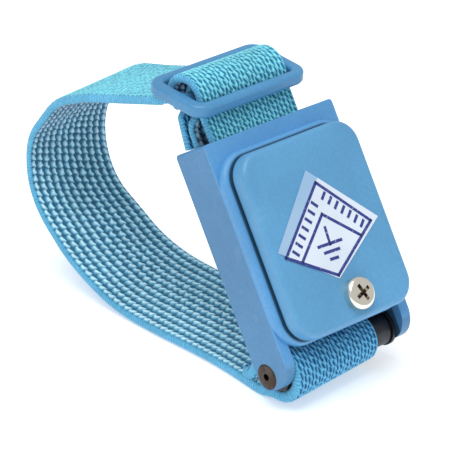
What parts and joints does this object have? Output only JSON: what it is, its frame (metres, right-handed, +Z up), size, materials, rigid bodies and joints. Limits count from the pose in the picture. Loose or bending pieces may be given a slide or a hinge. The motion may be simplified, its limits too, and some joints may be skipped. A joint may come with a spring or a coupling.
{
  "type": "esd wrist strap",
  "caption": "Cordless antistatic wrist strap: elastic band with slider, leaning plastic housing with discharge screw, skin contact plate and resistor.",
  "frame": {"origin": "middle of the footprint, on the surface that the strap stands on", "axes": "+Z up, +X from the loop's far side to the housing, +Y across the band"},
  "size_m": [0.0788, 0.0304, 0.0534],
  "materials": {
    "housing_blue": "fine moulded texture",
    "cover_blue": "fine moulded texture",
    "label_white": "printed film",
    "screw_nickel": "bright nickel",
    "nut_brass": "machined",
    "lug_tin": "tinned",
    "resistor_tan": "lacquered",
    "lead_tin": "tinned",
    "plate_steel": "brushed stainless",
    "rivet_steel": "satin",
    "pin_dark": "dark, lightly rusted",
    "washer_black": "satin",
    "roller_black": "satin",
    "bar_steel": "satin",
    "elastic_blue": "knitted elastic",
    "thread_blue": "sewing thread",
    "slider_blue": "satin moulded"
  },
  "bodies": {
    "housing": {"base_housing": "housing_blue", "top_cover": "cover_blue", "cover_label": "label_white", "discharge_screw": "screw_nickel", "screw_nut": "nut_brass", "solder_lug": "lug_tin", "resistor_body": "resistor_tan", "resistor_leads": "lead_tin", "contact_tab": "lug_tin", "contact_plate": "plate_steel", "plate_rivets": "rivet_steel", "near_pin": "pin_dark", "pin_washers": "washer_black", "far_strap_bar": "bar_steel", "strap_near_loop": "elastic_blue", "near_seam_stitches": "thread_blue", "strap_far_loop": "elastic_blue"},
    "roller": {"strap_roller": "roller_black"},
    "strap": {"strap_wrist_run": "elastic_blue", "strap_top_run": "elastic_blue"},
    "slider": {"slider_buckle": "slider_blue", "strap_slider_hump": "elastic_blue", "strap_end_loop": "elastic_blue"}
  },
  "joints": [
    {"name": "roller_spin", "type": "hinge", "parent": "housing", "child": "roller", "pos_m": [0.03089, 0, 0.0063], "axis": [0, 1, 0], "continuous": true},
    {"name": "strap_stretch", "type": "slide", "parent": "housing", "child": "strap", "axis": [-1, 0, 0], "range_m": [0, 0.006], "stiffness_N_per_m": 80},
    {"name": "slider_adjust", "type": "slide", "parent": "strap", "child": "slider", "axis": [-0.9591, 0, -0.2832], "range_m": [0, 0.006], "deforming": ["strap_top_run"]}
  ]
}
